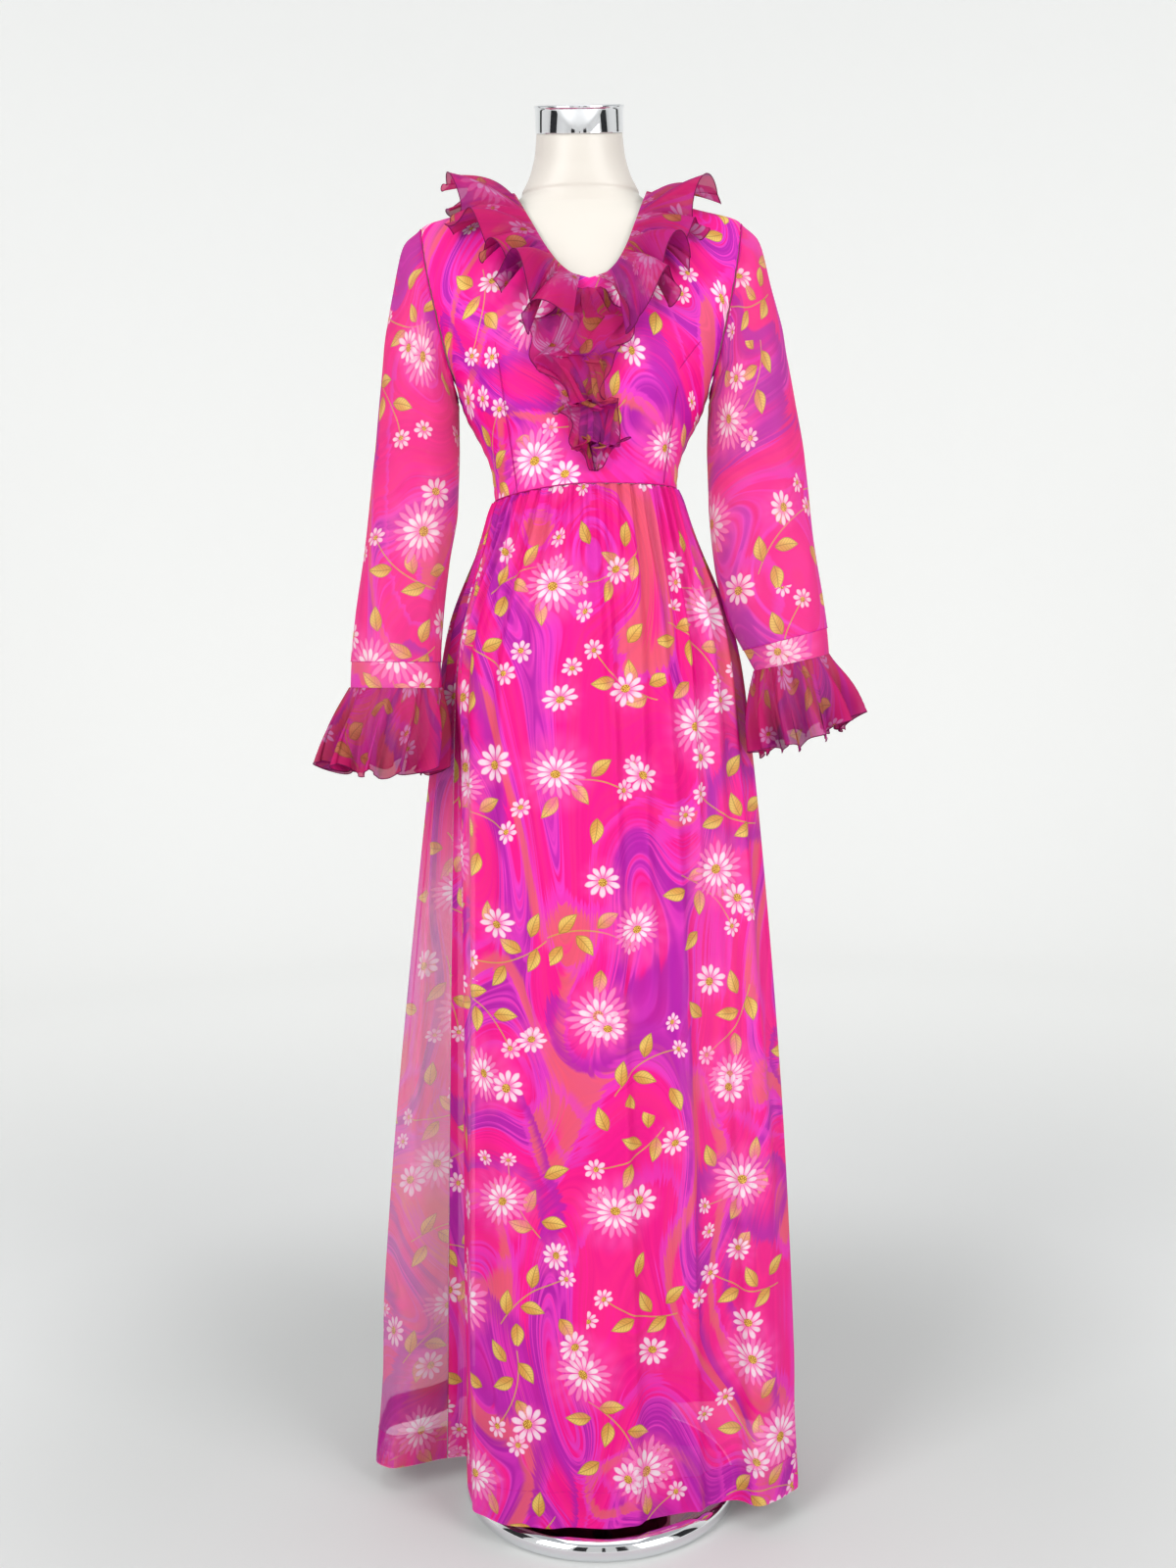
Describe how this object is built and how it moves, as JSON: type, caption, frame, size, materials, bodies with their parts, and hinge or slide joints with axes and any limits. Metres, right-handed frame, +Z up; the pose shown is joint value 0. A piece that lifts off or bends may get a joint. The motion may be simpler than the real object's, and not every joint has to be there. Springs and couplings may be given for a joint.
{
  "type": "maxi dress on a dress form",
  "caption": "Long gathered maxi dress with a frilled V-neck and frilled cuffs, worn by a limbless dress form that stands on a round base.",
  "frame": {"origin": "middle of the base's underside, on the floor", "axes": "+Z up along the form, the front of the dress faces -Y, +X is to the right of someone who looks at the front"},
  "size_m": [0.6026, 0.3393, 1.6446],
  "materials": {
    "printed_chiffon": "sheer silk chiffon printed with flowers, backed at the bodice",
    "printed_chiffon_sleeve": "the same chiffon, unlined",
    "single_chiffon": "one layer of chiffon with a rolled edge, translucent",
    "sheer_chiffon": "sheer silk chiffon printed with flowers",
    "lining_cloth": "plain silky lining",
    "zip_tape_cloth": "woven tape",
    "zip_metal": "nickel plated",
    "form_shell": "matte warm white",
    "chrome": "polished"
  },
  "bodies": {
    "root": {"bodice_front": "printed_chiffon", "bodice_back_left": "printed_chiffon", "bodice_back_right": "printed_chiffon", "sleeve_left": "printed_chiffon_sleeve", "sleeve_right": "printed_chiffon_sleeve", "wrist_band_left": "printed_chiffon_sleeve", "wrist_band_right": "printed_chiffon_sleeve", "cuff_frill_left": "single_chiffon", "cuff_frill_right": "single_chiffon", "neck_frill_left": "single_chiffon", "neck_frill_right": "single_chiffon", "jabot": "single_chiffon", "skirt_front": "sheer_chiffon", "skirt_back_left": "sheer_chiffon", "skirt_back_right": "sheer_chiffon", "lining_front": "lining_cloth", "lining_back": "lining_cloth", "zip_tape": "zip_tape_cloth", "zip_slider": "zip_metal", "form_bust": "form_shell", "form_neck_cap": "chrome", "form_pole": "chrome", "form_base": "chrome"},
    "zip_pull": {"zip_pull": "zip_metal"}
  },
  "joints": [
    {"name": "zip_pull_swing", "type": "hinge", "parent": "root", "child": "zip_pull", "pos_m": [0, 0.07594, 1.48926], "axis": [1, 0, 0], "range_deg": [0, 145]}
  ]
}
